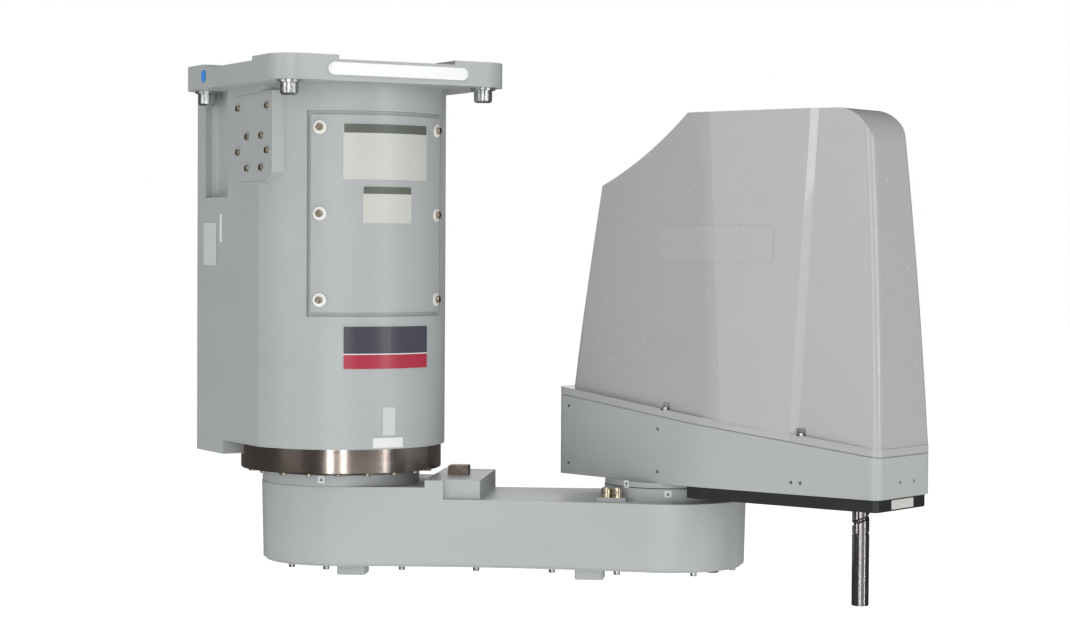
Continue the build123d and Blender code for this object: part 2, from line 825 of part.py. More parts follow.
def hood_form(inset=0.0):
    """Hood volume: a tapered plan with a bulged front, trimmed by the side profile."""
    radii = (hood_rear_corner, hood_bend_r, hood_step_r, hood_step_r, hood_front_corner)
    half_way = [((a + c) / 2, (b + d) / 2) for (a, b), (c, d) in zip(hood_base_plan, hood_top_plan)]
    half_way[-1] = (half_way[-1][0] + hood_front_bulge, half_way[-1][1])
    sections = []
    middle = (hood_base + hood_top) / 2
    for points, level in ((hood_base_plan, hood_base), (half_way, middle), (hood_top_plan, hood_top + 0.01)):
        face = rounded_plan(points, radii)
        face = offset(face, -inset) if inset else face
        sections.append(Pos(0, 0, level) * face)
    side = hood_side_face()
    side = offset(side, -inset) if inset else side
    return loft(sections) & extrude(Plane.XZ * side, 100, both=True)


def make_hood():
    rim = below(prism(arm2_outline(), hood_base, parting_z + 60), rim_height)
    solid = above(hood_form() + rim)
    lip = below(prism(arm2_outline(hood_wall + 1), hood_base - 5, parting_z + 60), rim_height - hood_wall)
    body = solid - hood_form(hood_wall) - lip
    for x, y, seat in hood_screw_spots():
        top = seat + screw_relief_height
        body += rod(hood_post_r, seat - 2 * rim_height, top + hood_wall, x, y) & solid
        body -= rod(screw_relief_r, seat, top, x, y)
        body -= rod(screw_shank_r, seat - 2 * rim_height, seat + 1, x, y)
    seam = prism(arm2_outline(-1) - arm2_outline(seam_depth), hood_base - 5, parting_z + 60)
    return body - below(seam, seam_height)


def make_hood_screws():
    one = screw(panel_screw_head_r, screw_head_height, hood_screw_shank)
    return [Pos(x, y, seat) * one for x, y, seat in hood_screw_spots()]


def make_j2_reducer():
    low = arm2_floor_top
    body = rod(reducer2_r, low, low + reducer2_height)
    body -= rod(hub_r + clear_gap, low - 1, low + hub_rise + clear_gap)
    return body


def motor(side, height, shaft_r, shaft_drop):
    """Square servo motor standing at z = 0, with its encoder cap and a shaft hanging below."""
    body = prism(RectangleRounded(side, side, side * 0.12), 0, height * 0.72)
    body += prism(RectangleRounded(side * 0.86, side * 0.86, side * 0.1), height * 0.72, height)
    if shaft_drop:
        body += rod(shaft_r, -shaft_drop, 1)
    return body


def make_j2_motor():
    return Pos(0, 0, arm2_floor_top + reducer2_height) * motor(motor2_side, motor2_height, 0, 0)


def make_z_motor():
    return Pos(z_motor_x, 0, bracket_top) * motor(z_motor_side, z_motor_height, 0, 0)


def make_theta_motor():
    return Pos(theta_motor_x, 0, bracket_top) * motor(theta_motor_side, theta_motor_height, 0, 0)


def pulley(radius, bore, z_low):
    """Timing pulley with a flange above and below its belt."""
    z_high = z_low + pulley_width
    wheel = rod(radius, z_low, z_high)
    wheel += rod(radius + belt_thick, z_low, z_low + pulley_flange)
    wheel += rod(radius + belt_thick, z_high - pulley_flange, z_high)
    return wheel - rod(bore, z_low - 1, z_high + 1) if bore else wheel


def belt(x_small, r_small, z_low):
    """Timing belt from a motor pulley to the pulley on the shaft's axis."""
    low = z_low + pulley_flange + clear_gap
    high = z_low + pulley_width - pulley_flange - clear_gap
    gap = clear_gap
    outer = loop_face(x_small, r_small + gap + belt_thick, arm2_length, pulley_r + gap + belt_thick)
    inner = loop_face(x_small, r_small + gap, arm2_length, pulley_r + gap)
    return prism(outer - inner, low, high)


def make_drive_bracket():
    middle = (bracket_rear_x + bracket_front_x) / 2
    length = bracket_front_x - bracket_rear_x
    plan = Pos(middle, 0) * RectangleRounded(length, 2 * bracket_half, bracket_corner)
    plate = prism(plan, bracket_bottom, bracket_top)
    plate -= rod(bearing_r, bracket_bottom - 1, bracket_top + 1, arm2_length)
    for x, radius in ((z_motor_x, z_motor_shaft_r), (theta_motor_x, theta_motor_shaft_r)):
        plate -= rod(radius + motor_hole_gap, bracket_bottom - 1, bracket_top + 1, x)
    return plate


def make_bracket_posts():
    return [rod(post_r, arm2_floor_top, bracket_bottom, x, y) for x, y in both_sides(post_spots)]


def make_spline_bearing():
    top = arm2_floor_top + bearing_height
    body = rod(bearing_r, arm2_bottom, top, arm2_length)
    body += rod(bearing_flange_r, arm2_floor_top, arm2_floor_top + bearing_flange, arm2_length)
    return body - rod(nut_r + running_gap, arm2_bottom - 1, top + 1, arm2_length)


def make_ball_nut_bearing():
    body = tube(bearing_r, nut_r + running_gap, bracket_bottom, bracket_top, arm2_length)
    top = bracket_top + retainer_height
    return body + tube(bearing_r + 3, bearing_r - 3, bracket_top, top, arm2_length)


def make_spline_nut():
    return tube(nut_r, shaft_r + running_gap, spline_nut_bottom, spline_nut_top, arm2_length)


def make_ball_nut():
    low = bracket_bottom - ball_nut_drop
    return tube(nut_r, shaft_r + clear_gap, low, ball_nut_top, arm2_length)


def make_shaft():
    plain = rod(shaft_r, shaft_bottom, plain_top)
    plain = chamfer(plain.edges().group_by(Axis.Z)[0], 0.6)
    start = plain_top + shaft_relief_height
    body = plain + rod(shaft_r - shaft_relief, plain_top, start)
    grooved = rod(shaft_r - shaft_ground, start, shaft_top)
    grooved = chamfer(grooved.edges().group_by(Axis.Z)[-1], 0.6)
    for i in range(spline_count):
        turn = Rot(0, 0, 40 + 360.0 * i / spline_count)
        grooved -= turn * rod(groove_r, start - 1, shaft_top + 1, shaft_r + 0.4)
    body += grooved
    body -= rod(screw_shank_r, shaft_bottom - 1, shaft_bottom + shaft_hole_depth)
    return Pos(arm2_length, 0, 0) * body


def make_shaft_collar():
    high = shaft_top - 2
    return tube(collar2_r, shaft_r, high - collar2_height, high, arm2_length)


def in_frame(frame, shape):
    """One solid, or a list of them as one group, set in a body's frame."""
    if isinstance(shape, list):
        return Compound(children=[frame * piece for piece in shape])
    return frame * shape


def motor_pulley(x, radius, shaft_r, z_low):
    """A motor's shaft with its pulley, turning together."""
    wheel = pulley(radius, 0, z_low) + rod(shaft_r, z_low + 1, bracket_top - clear_gap)
    return Pos(x, 0, 0) * wheel


still = Pos(0, 0, 0)
nodes = {
    "base_casting": (still, make_base_casting()),
    "access_cover": (still, make_access_cover()),
    "access_cover_collars": (still, make_cover_collars()),
    "access_cover_screws": (still, make_cover_screws()),
    "cable_panel": (still, make_cable_panel()),
    "cable_panel_screws": (still, make_panel_screws()),
    "connector_sockets": (still, make_connectors()),
    "connector_screws": (still, [p * screw(panel_screw_head_r, panel_screw_head) for p in connector_screw_places()]),
    "j1_ring": (still, make_j1_ring()),
    "j1_ring_screws": (still, [place * screw(head=panel_screw_head) for place in ring_screw_places()]),
    "j1_reducer": (still, make_j1_reducer()),
    "j1_motor": (still, make_j1_motor()),
    "j1_base_stop": (still, make_base_stop()),
    "arm1_casting": (arm1_frame, make_arm1_casting()),
    "j1_output_flange": (arm1_frame, make_j1_output_flange()),
    "j1_stopper": (arm1_frame, make_j1_stopper()),
    "arm1_bottom_cover": (arm1_frame, make_arm1_bottom_cover()),
    "arm1_feet": (arm1_frame, make_arm1_feet()),
    "arm1_cover_screws": (arm1_frame, make_arm1_cover_screws()),
    "arm1_plug": (arm1_frame, make_arm1_plug()),
    "j2_hub": (arm1_frame, make_j2_hub()),
    "j2_stop_bolts": (arm1_frame, make_j2_stop_bolts()),
    "arm2_casting": (arm2_frame, make_arm2_casting()),
    "j2_ring": (arm2_frame, make_j2_ring()),
    "j2_stop_lug": (arm2_frame, make_j2_stop_lug()),
    "arm2_bottom_cover": (arm2_frame, make_arm2_bottom_cover()),
    "hood": (arm2_frame, make_hood()),
    "hood_screws": (arm2_frame, make_hood_screws()),
    "j2_reducer": (arm2_frame, make_j2_reducer()),
    "j2_motor": (arm2_frame, make_j2_motor()),
    "drive_bracket": (arm2_frame, make_drive_bracket()),
    "bracket_posts": (arm2_frame, make_bracket_posts()),
    "z_motor": (arm2_frame, make_z_motor()),
    "theta_motor": (arm2_frame, make_theta_motor()),
    "z_belt": (arm2_frame, belt(z_motor_x, z_pulley_r, z_belt_z)),
    "theta_belt": (arm2_frame, belt(theta_motor_x, theta_pulley_r, theta_belt_z)),
    "spline_bearing": (arm2_frame, make_spline_bearing()),
    "ball_nut_bearing": (arm2_frame, make_ball_nut_bearing()),
    "spline_nut": (arm2_frame, make_spline_nut()),
    "theta_pulley": (arm2_frame, Pos(arm2_length, 0, 0) * pulley(pulley_r, nut_r, theta_belt_z)),
    "ball_nut": (arm2_frame, make_ball_nut()),
    "z_pulley": (arm2_frame, Pos(arm2_length, 0, 0) * pulley(pulley_r, nut_r, z_belt_z)),
    "z_motor_pulley": (arm2_frame, motor_pulley(z_motor_x, z_pulley_r, z_motor_shaft_r, z_belt_z)),
    "theta_motor_pulley": (
        arm2_frame, motor_pulley(theta_motor_x, theta_pulley_r, theta_motor_shaft_r, theta_belt_z)),
    "shaft": (arm2_frame, make_shaft()),
    "shaft_collar": (arm2_frame, make_shaft_collar()),
}

os.makedirs("parts", exist_ok=True)
for name, (frame, shape) in nodes.items():
    export_step(in_frame(frame, shape), f"parts/{name}.step")
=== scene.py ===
"""Looks for the ceiling-mounted SCARA robot: materials, fasteners, labels, light and camera."""

from math import cos, pi, radians, sin

import bmesh
import bpy
from mathutils import Matrix, Vector
from mathutils.bvhtree import BVHTree


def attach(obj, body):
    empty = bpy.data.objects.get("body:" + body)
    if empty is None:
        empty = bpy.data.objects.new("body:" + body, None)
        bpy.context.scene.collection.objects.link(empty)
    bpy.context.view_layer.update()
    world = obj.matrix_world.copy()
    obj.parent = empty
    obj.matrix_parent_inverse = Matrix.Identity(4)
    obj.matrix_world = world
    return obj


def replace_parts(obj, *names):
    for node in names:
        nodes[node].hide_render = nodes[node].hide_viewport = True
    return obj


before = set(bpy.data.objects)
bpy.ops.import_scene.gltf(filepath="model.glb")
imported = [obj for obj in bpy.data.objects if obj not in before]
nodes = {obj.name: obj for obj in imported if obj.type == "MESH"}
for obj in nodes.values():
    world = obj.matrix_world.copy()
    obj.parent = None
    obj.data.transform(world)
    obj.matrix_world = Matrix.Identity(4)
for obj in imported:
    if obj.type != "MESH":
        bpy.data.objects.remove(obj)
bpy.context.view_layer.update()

MM = 0.001
UP = Vector((0, 0, 1))
DOWN = Vector((0, 0, -1))
SIDE = Vector((0, -1, 0))
REAR = Vector((-1, 0, 0))

# Joint axes in plan, in metres
ARM1_ANGLE = radians(54.1)
ARM2_ANGLE = radians(20.3)
ARM1_LENGTH = 0.325
ARM2_LENGTH = 0.225
JOINT2 = Vector((ARM1_LENGTH * cos(ARM1_ANGLE), ARM1_LENGTH * sin(ARM1_ANGLE), 0))

# Camera fitted to the photograph: angles in radians, place along the view's axes in metres
CAMERA_YAW = 0.5182
CAMERA_PITCH = 0.0266
CAMERA_ROLL = -0.0064
CAMERA_PLACE = (0.192836, -0.182311, 2.371891)
CAMERA_LENS = 79.94
VIEW_RIGHT = Vector((sin(CAMERA_YAW), cos(CAMERA_YAW), 0))
VIEW_BACK = Vector((cos(CAMERA_YAW), -sin(CAMERA_YAW), 0))


def at_arm2(x, y, z):
    """A point in arm 2's own axes, in millimetres, moved to the shared frame in metres."""
    p = Matrix.Rotation(ARM2_ANGLE, 3, "Z") @ Vector((x, y, z))
    return p / 1000 + JOINT2


def turned(vector, angle):
    return Matrix.Rotation(angle, 3, "Z") @ Vector(vector)


# Materials
class Nodes:
    """Short calls for building one material's node tree."""

    def __init__(self, name):
        self.material = bpy.data.materials.new(name)
        self.material.use_nodes = True
        self.tree = self.material.node_tree
        self.shader = self.tree.nodes["Principled BSDF"]
        self.coords = self.tree.nodes.new("ShaderNodeTexCoord").outputs["Object"]

    def link(self, a, b):
        self.tree.links.new(a, b)

    def stretched(self, scale):
        node = self.tree.nodes.new("ShaderNodeMapping")
        node.inputs["Scale"].default_value = scale
        self.link(self.coords, node.inputs["Vector"])
        return node.outputs["Vector"]

    def noise(self, scale, detail=3.0, stretch=None):
        node = self.tree.nodes.new("ShaderNodeTexNoise")
        node.inputs["Scale"].default_value = scale
        node.inputs["Detail"].default_value = detail
        self.link(self.stretched(stretch) if stretch else self.coords, node.inputs["Vector"])
        return node.outputs["Fac"]

    def ramp(self, value, low, high, start=0.35, end=0.65):
        """Values from start to end spread over low to high."""
        node = self.tree.nodes.new("ShaderNodeMapRange")
        node.inputs["From Min"].default_value = start
        node.inputs["From Max"].default_value = end
        node.inputs["To Min"].default_value = low
        node.inputs["To Max"].default_value = high
        self.link(value, node.inputs["Value"])
        return node.outputs["Result"]

    def mix(self, factor, a, b):
        """Blend of two colours, each a tuple or another node's output."""
        node = self.tree.nodes.new("ShaderNodeMix")
        node.data_type = "RGBA"
        self.link(factor, node.inputs["Factor"])
        for socket, value in ((node.inputs[6], a), (node.inputs[7], b)):
            if isinstance(value, tuple):
                socket.default_value = (*value, 1.0)
            else:
                self.link(value, socket)
        return node.outputs[2]

    def bump(self, height, strength, distance):
        node = self.tree.nodes.new("ShaderNodeBump")
        node.inputs["Strength"].default_value = strength
        node.inputs["Distance"].default_value = distance
        self.link(height, node.inputs["Height"])
        return node.outputs["Normal"]

    def finish(self, colour, rough, normal=None, metallic=0.0, specular=0.5, coat=0.0):
        shader = self.shader
        self.link(colour, shader.inputs["Base Color"])
        if isinstance(rough, float):
            shader.inputs["Roughness"].default_value = rough
        else:
            self.link(rough, shader.inputs["Roughness"])
        if normal:
            self.link(normal, shader.inputs["Normal"])
        shader.inputs["Metallic"].default_value = metallic
        shader.inputs["Specular IOR Level"].default_value = specular
        shader.inputs["Coat Weight"].default_value = coat
        return self.material


def scaled(colour, factor):
    return tuple(min(1.0, c * factor) for c in colour)


def paint(name, colour, grain, grain_depth, rough, spread=0.04, dirt=0.22, coat=0.0):
    """Sprayed paint: faint clouding, dust in patches and an orange-peel surface."""
    n = Nodes(name)
    cloud = n.ramp(n.noise(9.0, 2.0), 0.0, 1.0, 0.2, 0.8)
    tone = n.mix(cloud, scaled(colour, 1 - spread), scaled(colour, 1 + spread))
    dust = n.ramp(n.noise(38.0, 3.0), 0.0, dirt, 0.45, 0.95)
    tone = n.mix(dust, tone, scaled(colour, 0.9))
    shine = n.ramp(n.noise(24.0, 3.0), rough - 0.04, rough + 0.06, 0.2, 0.8)
    peel = n.bump(n.noise(grain, 2.0), grain_depth, 0.0006)
    return n.finish(tone, shine, peel, specular=0.45, coat=coat)


def turned_metal(name, colour, rough, lines=2600.0):
    """Machined metal whose fine lines run round the vertical axis."""
    n = Nodes(name)
    fine = n.noise(1.0, 3.0, stretch=(14.0, 14.0, lines))
    patch = n.ramp(n.noise(30.0, 5.0), 0.0, 1.0, 0.4, 0.7)
    tone = n.mix(patch, colour, scaled(colour, 0.88))
    shine = n.ramp(fine, rough * 0.75, rough * 1.3)
    return n.finish(tone, shine, n.bump(fine, 0.05, 0.0003), metallic=1.0)


def plain_metal(name, colour, rough, tint=None, scale=220.0):
    """Small plated or blackened parts with stains and fine scratches."""
    n = Nodes(name)
    patch = n.ramp(n.noise(scale, 4.0), 0.0, 1.0)
    tone = n.mix(patch, colour, tint or scaled(colour, 0.78))
    shine = n.ramp(n.noise(scale * 1.7, 3.0), rough * 0.8, rough * 1.4)
    return n.finish(tone, shine, n.bump(n.noise(scale * 6, 2.0), 0.04, 0.0004), metallic=1.0)


def plastic(name, colour, rough):
    """Moulded plastic or rubber with a fine grain."""
    n = Nodes(name)
    cloud = n.ramp(n.noise(40.0, 4.0), 0.0, 1.0)
    tone = n.mix(cloud, scaled(colour, 0.9), scaled(colour, 1.12))
    shine = n.ramp(n.noise(60.0, 4.0), rough - 0.06, rough + 0.08)
    return n.finish(tone, shine, n.bump(n.noise(1800.0, 2.0), 0.08, 0.0005))


def label_stock(name, colour, rough, metallic=0.0, clouds=0.01):
    """Printed film, tape or a bare strip: almost even in colour and gloss."""
    n = Nodes(name)
    cloud = n.ramp(n.noise(70.0, 2.0), 0.0, 1.0, 0.2, 0.8)
    tone = n.mix(cloud, scaled(colour, 1 - clouds), scaled(colour, 1 + clouds))
    shine = n.ramp(n.noise(90.0, 2.0), rough - 0.02, rough + 0.03, 0.2, 0.8)
    return n.finish(tone, shine, n.bump(n.noise(600.0, 2.0), 0.01, 0.0003), metallic=metallic)


OFF_WHITE = (0.318, 0.336, 0.335)
HOOD_WHITE = (0.325, 0.332, 0.328)
casting = paint("casting_paint", OFF_WHITE, 950.0, 0.2, 0.34)
sheet = paint("sheet_paint", OFF_WHITE, 1400.0, 0.12, 0.38)
hood_paint = paint("hood_paint", HOOD_WHITE, 1300.0, 0.05, 0.24, spread=0.0, dirt=0.0, coat=0.25)
# The J1 ring's steel is tinted brown: a painted reflection of brown surroundings, not the plain steel's own
# colour
ring_steel_painted_reflection = turned_metal("ring_steel_painted_reflection", (0.42, 0.365, 0.325), 0.17)
shaft_steel = turned_metal("shaft_steel", (0.30, 0.29, 0.285), 0.18, 3400.0)
inner_steel = turned_metal("inner_steel", (0.5, 0.49, 0.48), 0.3)
alloy = turned_metal("alloy", (0.72, 0.72, 0.73), 0.34)
brass_plate = plain_metal("brass_plate", (0.62, 0.54, 0.42), 0.24, (0.42, 0.36, 0.28))
zinc = plain_metal("zinc", (0.66, 0.68, 0.69), 0.28, (0.48, 0.5, 0.51))
dark_steel = plain_metal("dark_steel", (0.2, 0.165, 0.14), 0.36, (0.13, 0.105, 0.09), 160.0)
nickel = plain_metal("nickel", (0.62, 0.6, 0.56), 0.25)
black = plastic("black_moulding", (0.014, 0.014, 0.017), 0.42)
rubber = plastic("rubber", (0.018, 0.018, 0.018), 0.7)
motor_black = plastic("motor_black", (0.03, 0.03, 0.032), 0.4)
collar_white = plastic("collar_white", (0.62, 0.61, 0.58), 0.45)
silver = label_stock("label_silver", (0.44, 0.44, 0.415), 0.36)
header = label_stock("label_header", (0.085, 0.095, 0.08), 0.4)
charcoal = label_stock("label_charcoal", (0.042, 0.042, 0.058), 0.3)
red = label_stock("label_red", (0.32, 0.018, 0.04), 0.3)
white = label_stock("label_white", (0.58, 0.59, 0.59), 0.4)
film = label_stock("clear_film", (0.338, 0.342, 0.334), 0.26, clouds=0.0)
blue = label_stock("label_blue", (0.03, 0.2, 0.62), 0.35)
tape = label_stock("tape", (0.44, 0.465, 0.46), 0.5)
milled = label_stock("milled_strip", (0.66, 0.67, 0.665), 0.38, metallic=0.3)

NODE_FINISH = {
    casting: ("base_casting", "access_cover", "arm1_casting", "arm2_casting", "j2_ring"),
    sheet: ("cable_panel", "arm1_bottom_cover", "arm1_feet"),
    hood_paint: ("hood",),
    ring_steel_painted_reflection: ("j1_ring",),
    inner_steel: ("j1_reducer", "j1_output_flange", "j2_hub", "j2_reducer", "bracket_posts",
                  "spline_bearing", "ball_nut_bearing", "spline_nut", "ball_nut"),
    alloy: ("drive_bracket", "theta_pulley", "z_pulley", "z_motor_pulley", "theta_motor_pulley"),
    nickel: ("connector_sockets",),
    shaft_steel: ("shaft",),
    dark_steel: ("j1_base_stop", "j1_stopper", "j2_stop_lug", "shaft_collar"),
    motor_black: ("j1_motor", "j2_motor", "z_motor", "theta_motor"),
    black: ("arm2_bottom_cover",),
    rubber: ("z_belt", "theta_belt", "arm1_plug"),
    collar_white: ("access_cover_collars",),
}
for finish, names in NODE_FINISH.items():
    for name in names:
        mesh = nodes[name].data
        mesh.materials.clear()
        mesh.materials.append(finish)


# Mesh pieces
def add(name, mesh_data, finish, body):
    """A piece from a bmesh, riding on a body."""
    mesh = bpy.data.meshes.new(name)
    mesh_data.to_mesh(mesh)
    mesh_data.free()
    mesh.materials.append(finish)
    piece = bpy.data.objects.new(name, mesh)
    bpy.context.scene.collection.objects.link(piece)
    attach(piece, body)
    return piece


def islands(node):
    """Vertices of each separate solid of a CAD node."""
    mesh = nodes[node].data
    owner = list(range(len(mesh.vertices)))

    def root(i):
        while owner[i] != i:
            owner[i] = owner[owner[i]]
            i = owner[i]
        return i

    for a, b in (edge.vertices for edge in mesh.edges):
        owner[root(a)] = root(b)
    spots = {}
    for i, vertex in enumerate(mesh.vertices):
        spots.setdefault(tuple(round(c, 5) for c in vertex.co), []).append(i)
    for same in spots.values():
        for i in same[1:]:
            owner[root(i)] = root(same[0])
    groups = {}
    for i, vertex in enumerate(mesh.vertices):
        groups.setdefault(root(i), []).append(vertex.co.copy())
    return list(groups.values())


def ends_along(points, axis):
    """Centre line of a solid along an axis: its lowest and highest point."""
    middle = Vector([(min(p[i] for p in points) + max(p[i] for p in points)) / 2 for i in range(3)])
    reach = [(p - middle).dot(axis) for p in points]
    return middle + axis * min(reach), middle + axis * max(reach)


def around(radius, height, sides):
    """Points of a ring round the Z axis."""
    angles = [2 * pi * i / sides for i in range(sides)]
    return [Vector((radius * cos(a), radius * sin(a), height)) for a in angles]


def join_rings(bm, rings):
    """Faces between each ring of vertices and the next one."""
    for low, high in zip(rings, rings[1:]):
        for i in range(len(low)):
            j = (i + 1) % len(low)
            bm.faces.new((low[i], low[j], high[j], high[i]))


def lathe(bm, place, profile, sides):
    """Rings of (radius, height) joined round a place's Z axis, closed at the first ring."""
    rings = [[bm.verts.new(place @ p) for p in around(radius, height, sides)] for radius, height in profile]
    join_rings(bm, rings)
    bm.faces.new(list(reversed(rings[0])))
    return rings


def facing(point, axis):
    """Matrix at a point with its Z axis along the given direction."""
    return Matrix.Translation(point) @ Vector(axis).to_track_quat("Z", "Y").to_matrix().to_4x4()


# Socket head screws: bevel and recess are shares of the head's height
HEAD_BEVEL = 0.14
RECESS_DEPTH = 0.45
HEXAGON = 6
SIDES_PER_FLAT = 5


def cap_screw(bm, place, head_r, head_h, shank_r, shank, socket_r):
    """Socket head screw: seat at the place's origin, head along its Z axis, a real hexagon recess."""
    bevel = head_h * HEAD_BEVEL
    profile = [(shank_r, -shank), (shank_r, 0), (head_r, 0)]
    profile += [(head_r, head_h - bevel), (head_r - bevel, head_h)]
    sides = HEXAGON * SIDES_PER_FLAT
    top = lathe(bm, place, profile, sides)[-1]
    floor_h = head_h - head_h * RECESS_DEPTH
    rim = [bm.verts.new(place @ p) for p in around(socket_r, head_h, HEXAGON)]
    low = [bm.verts.new(place @ p) for p in around(socket_r, floor_h, HEXAGON)]
    for i in range(HEXAGON):
        j = (i + 1) % HEXAGON
        part = [top[(SIDES_PER_FLAT * i + k) % sides] for k in range(SIDES_PER_FLAT + 1)]
        bm.faces.new([*part, rim[j], rim[i]])
        bm.faces.new((rim[i], rim[j], low[j], low[i]))
    bm.faces.new(low)


def outward(point):
    return Vector((point.x, point.y, 0)).normalized()


def always(axis):
    return lambda point: axis


def replace_screws(node, name, body, direction, sizes, finish):
    """Detailed screws in place of a CAD node's plain ones, on the same centre lines."""
    head_r, head_h, shank_r, socket_r = [size * MM for size in sizes]
    bm = bmesh.new()
    for points in islands(node):
        middle = sum(points, Vector()) / len(points)
        axis = direction(middle)
        low, high = ends_along(points, axis)
        seat = high - axis * head_h
        cap_screw(bm, facing(seat, axis), head_r, head_h, shank_r, (seat - low).length, socket_r)
    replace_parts(add(name, bm, finish, body), node)


# CAD node, piece, body, way the head points, (head radius, head height, shank radius, socket radius) in
# millimetres, and metal
SCREWS = (
    ("access_cover_screws", "cover_screws", "base", outward, (3.5, 3.0, 2.0, 1.6), brass_plate),
    ("cable_panel_screws", "panel_screws", "base", always(SIDE), (3.2, 2.6, 2.0, 1.5), brass_plate),
    ("connector_screws", "socket_screws", "base", always(REAR), (3.2, 2.6, 2.0, 1.5), brass_plate),
    ("j1_ring_screws", "ring_screws", "base", always(DOWN), (3.5, 2.6, 2.0, 1.6), brass_plate),
    ("arm1_cover_screws", "bottom_screws", "arm1", always(DOWN), (3.2, 4.0, 2.0, 1.5), zinc),
    ("j2_stop_bolts", "stop_bolts", "arm1", always(UP), (5.2, 9.5, 3.0, 2.9), brass_plate),
    ("hood_screws", "cover_bolts", "arm2", always(UP), (3.2, 3.0, 2.0, 1.6), zinc),
)
for row in SCREWS:
    replace_screws(*row)


# Installer's M12 bolts and washers under the ceiling plate, in millimetres
BOLT_PLACES = (-103.0, 103.0)
PLATE_UNDERSIDE = -24.0
WASHER_R = 12.1
WASHER_H = 2.2
WASHER_HOLE_R = 6.8
WASHER_SIDES = 40
BOLT_HEAD_R = 9.0
BOLT_HEAD_H = 12.0
BOLT_R = 5.9
BOLT_LENGTH = 26.0
BOLT_SOCKET_R = 5.8


def ceiling_bolts():
    washer = [(WASHER_R, 0), (WASHER_R, WASHER_H), (WASHER_HOLE_R, WASHER_H)]
    bolt = [size * MM for size in (BOLT_HEAD_R, BOLT_HEAD_H, BOLT_R, BOLT_LENGTH, BOLT_SOCKET_R)]
    bm = bmesh.new()
    for x in BOLT_PLACES:
        for y in BOLT_PLACES:
            seat = Vector((x, y, PLATE_UNDERSIDE)) * MM
            lathe(bm, facing(seat, DOWN), [(r * MM, z * MM) for r, z in washer], WASHER_SIDES)
            cap_screw(bm, facing(seat + DOWN * WASHER_H * MM, DOWN), *bolt)
    add("mounting_bolts", bm, zinc, "base")


ceiling_bolts()


# Ball screw spline shaft in millimetres: one helical ball groove and three straight spline grooves
SHAFT_R = 8.0
SHAFT_LOW = -509.0
SHAFT_HIGH = -85.0
SHAFT_SIDES = 108
PLAIN_TOP = -443.0
PLAIN_MIDDLE = -479.0
RELIEF_TOP = -441.5
RELIEF_DEPTH = 0.5
GRINDING = 0.03
CHAMFER = 0.6
TOP_CHAMFER = 2.6
END_HOLE_R = 2.0
END_HOLE_DEPTH = 8.0
GROOVE_LEAD = 16.0
GROOVE_FULLNESS = 0.8
BALL_GROOVE_R = 1.9
SPLINE_GROOVE_R = 1.3
SPLINE_TURN = radians(40)
# The rings stand close together up to this level, where the grooves can be seen
FINE_TOP = -285.0
FINE_STEP = 0.7
COARSE_STEP = 4.0
SHOULDER = 0.05


def round_groove(distance, radius):
    """Depth of a round-bottomed groove at a distance from its middle."""
    if abs(distance) >= radius:
        return 0.0
    return GROOVE_FULLNESS * (radius ** 2 - distance ** 2) ** 0.5


def shaft_radius(angle, z):
    """Radius of the shaft at an angle and a level."""
    if z <= PLAIN_TOP:
        return SHAFT_R
    if z < RELIEF_TOP:
        return SHAFT_R - RELIEF_DEPTH
    along = ((z - PLAIN_TOP) / GROOVE_LEAD - angle / (2 * pi) + 0.5) % 1.0 - 0.5
    third = 2 * pi / 3
    across = (angle - SPLINE_TURN + third / 2) % third - third / 2
    ball = round_groove(along * GROOVE_LEAD, BALL_GROOVE_R)
    spline = round_groove(across * SHAFT_R, SPLINE_GROOVE_R)
    return SHAFT_R - GRINDING - max(ball, spline)


def shaft_levels():
    """Levels of the shaft's rings between its end chamfers."""
    levels = [SHAFT_LOW + CHAMFER, PLAIN_MIDDLE, PLAIN_TOP, PLAIN_TOP + SHOULDER, RELIEF_TOP - SHOULDER]
    levels += [RELIEF_TOP + FINE_STEP * i for i in range(int((FINE_TOP - RELIEF_TOP) / FINE_STEP))]
    levels += [FINE_TOP + COARSE_STEP * i for i in range(int((SHAFT_HIGH - FINE_TOP) / COARSE_STEP))]
    return levels + [SHAFT_HIGH - CHAMFER]


def make_shaft():
    bm = bmesh.new()
    angles = [2 * pi * i / SHAFT_SIDES for i in range(SHAFT_SIDES)]
    centre = 1000 * ARM2_LENGTH

    def ring(z, radius=None):
        points = [(radius or shaft_radius(a, z), a) for a in angles]
        return [bm.verts.new(at_arm2(centre + r * cos(a), r * sin(a), z)) for r, a in points]

    rings = [ring(SHAFT_LOW + END_HOLE_DEPTH, END_HOLE_R), ring(SHAFT_LOW, END_HOLE_R)]
    rings.append(ring(SHAFT_LOW, SHAFT_R - CHAMFER))
    rings += [ring(z) for z in shaft_levels()]
    rings.append(ring(SHAFT_HIGH, SHAFT_R - TOP_CHAMFER))
    join_rings(bm, rings)
    bm.faces.new(rings[0][::-1])
    bm.faces.new(rings[-1])
    bmesh.ops.recalc_face_normals(bm, faces=bm.faces[:])
    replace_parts(add("grooved_shaft", bm, shaft_steel, "shaft"), "shaft")


make_shaft()


# Labels and tape, laid on the CAD surface by casting rays at it, in metres
COLUMN_R = 0.1031
LABEL_THICK = 0.00012
RAY_START = 0.05
RAY_REACH = 0.12
CUT_ACROSS = 0.004
CUT_DOWN = 0.008


def surface(*names):
    """Ray target made of some CAD nodes."""
    bm = bmesh.new()
    for name in names:
        bm.from_mesh(nodes[name].data)
    tree = BVHTree.FromBMesh(bm)
    bm.free()
    return tree


def rounded(width, height, radius, steps=5):
    """Outline of a rounded rectangle centred on the origin."""
    points = []
    for cx, cy, start in ((1, 1, 0), (-1, 1, 90), (-1, -1, 180), (1, -1, 270)):
        for i in range(steps + 1):
            angle = radians(start + 90 * i / steps)
            x = cx * (width / 2 - radius) + radius * cos(angle)
            y = cy * (height / 2 - radius) + radius * sin(angle)
            points.append((x, y))
    return points


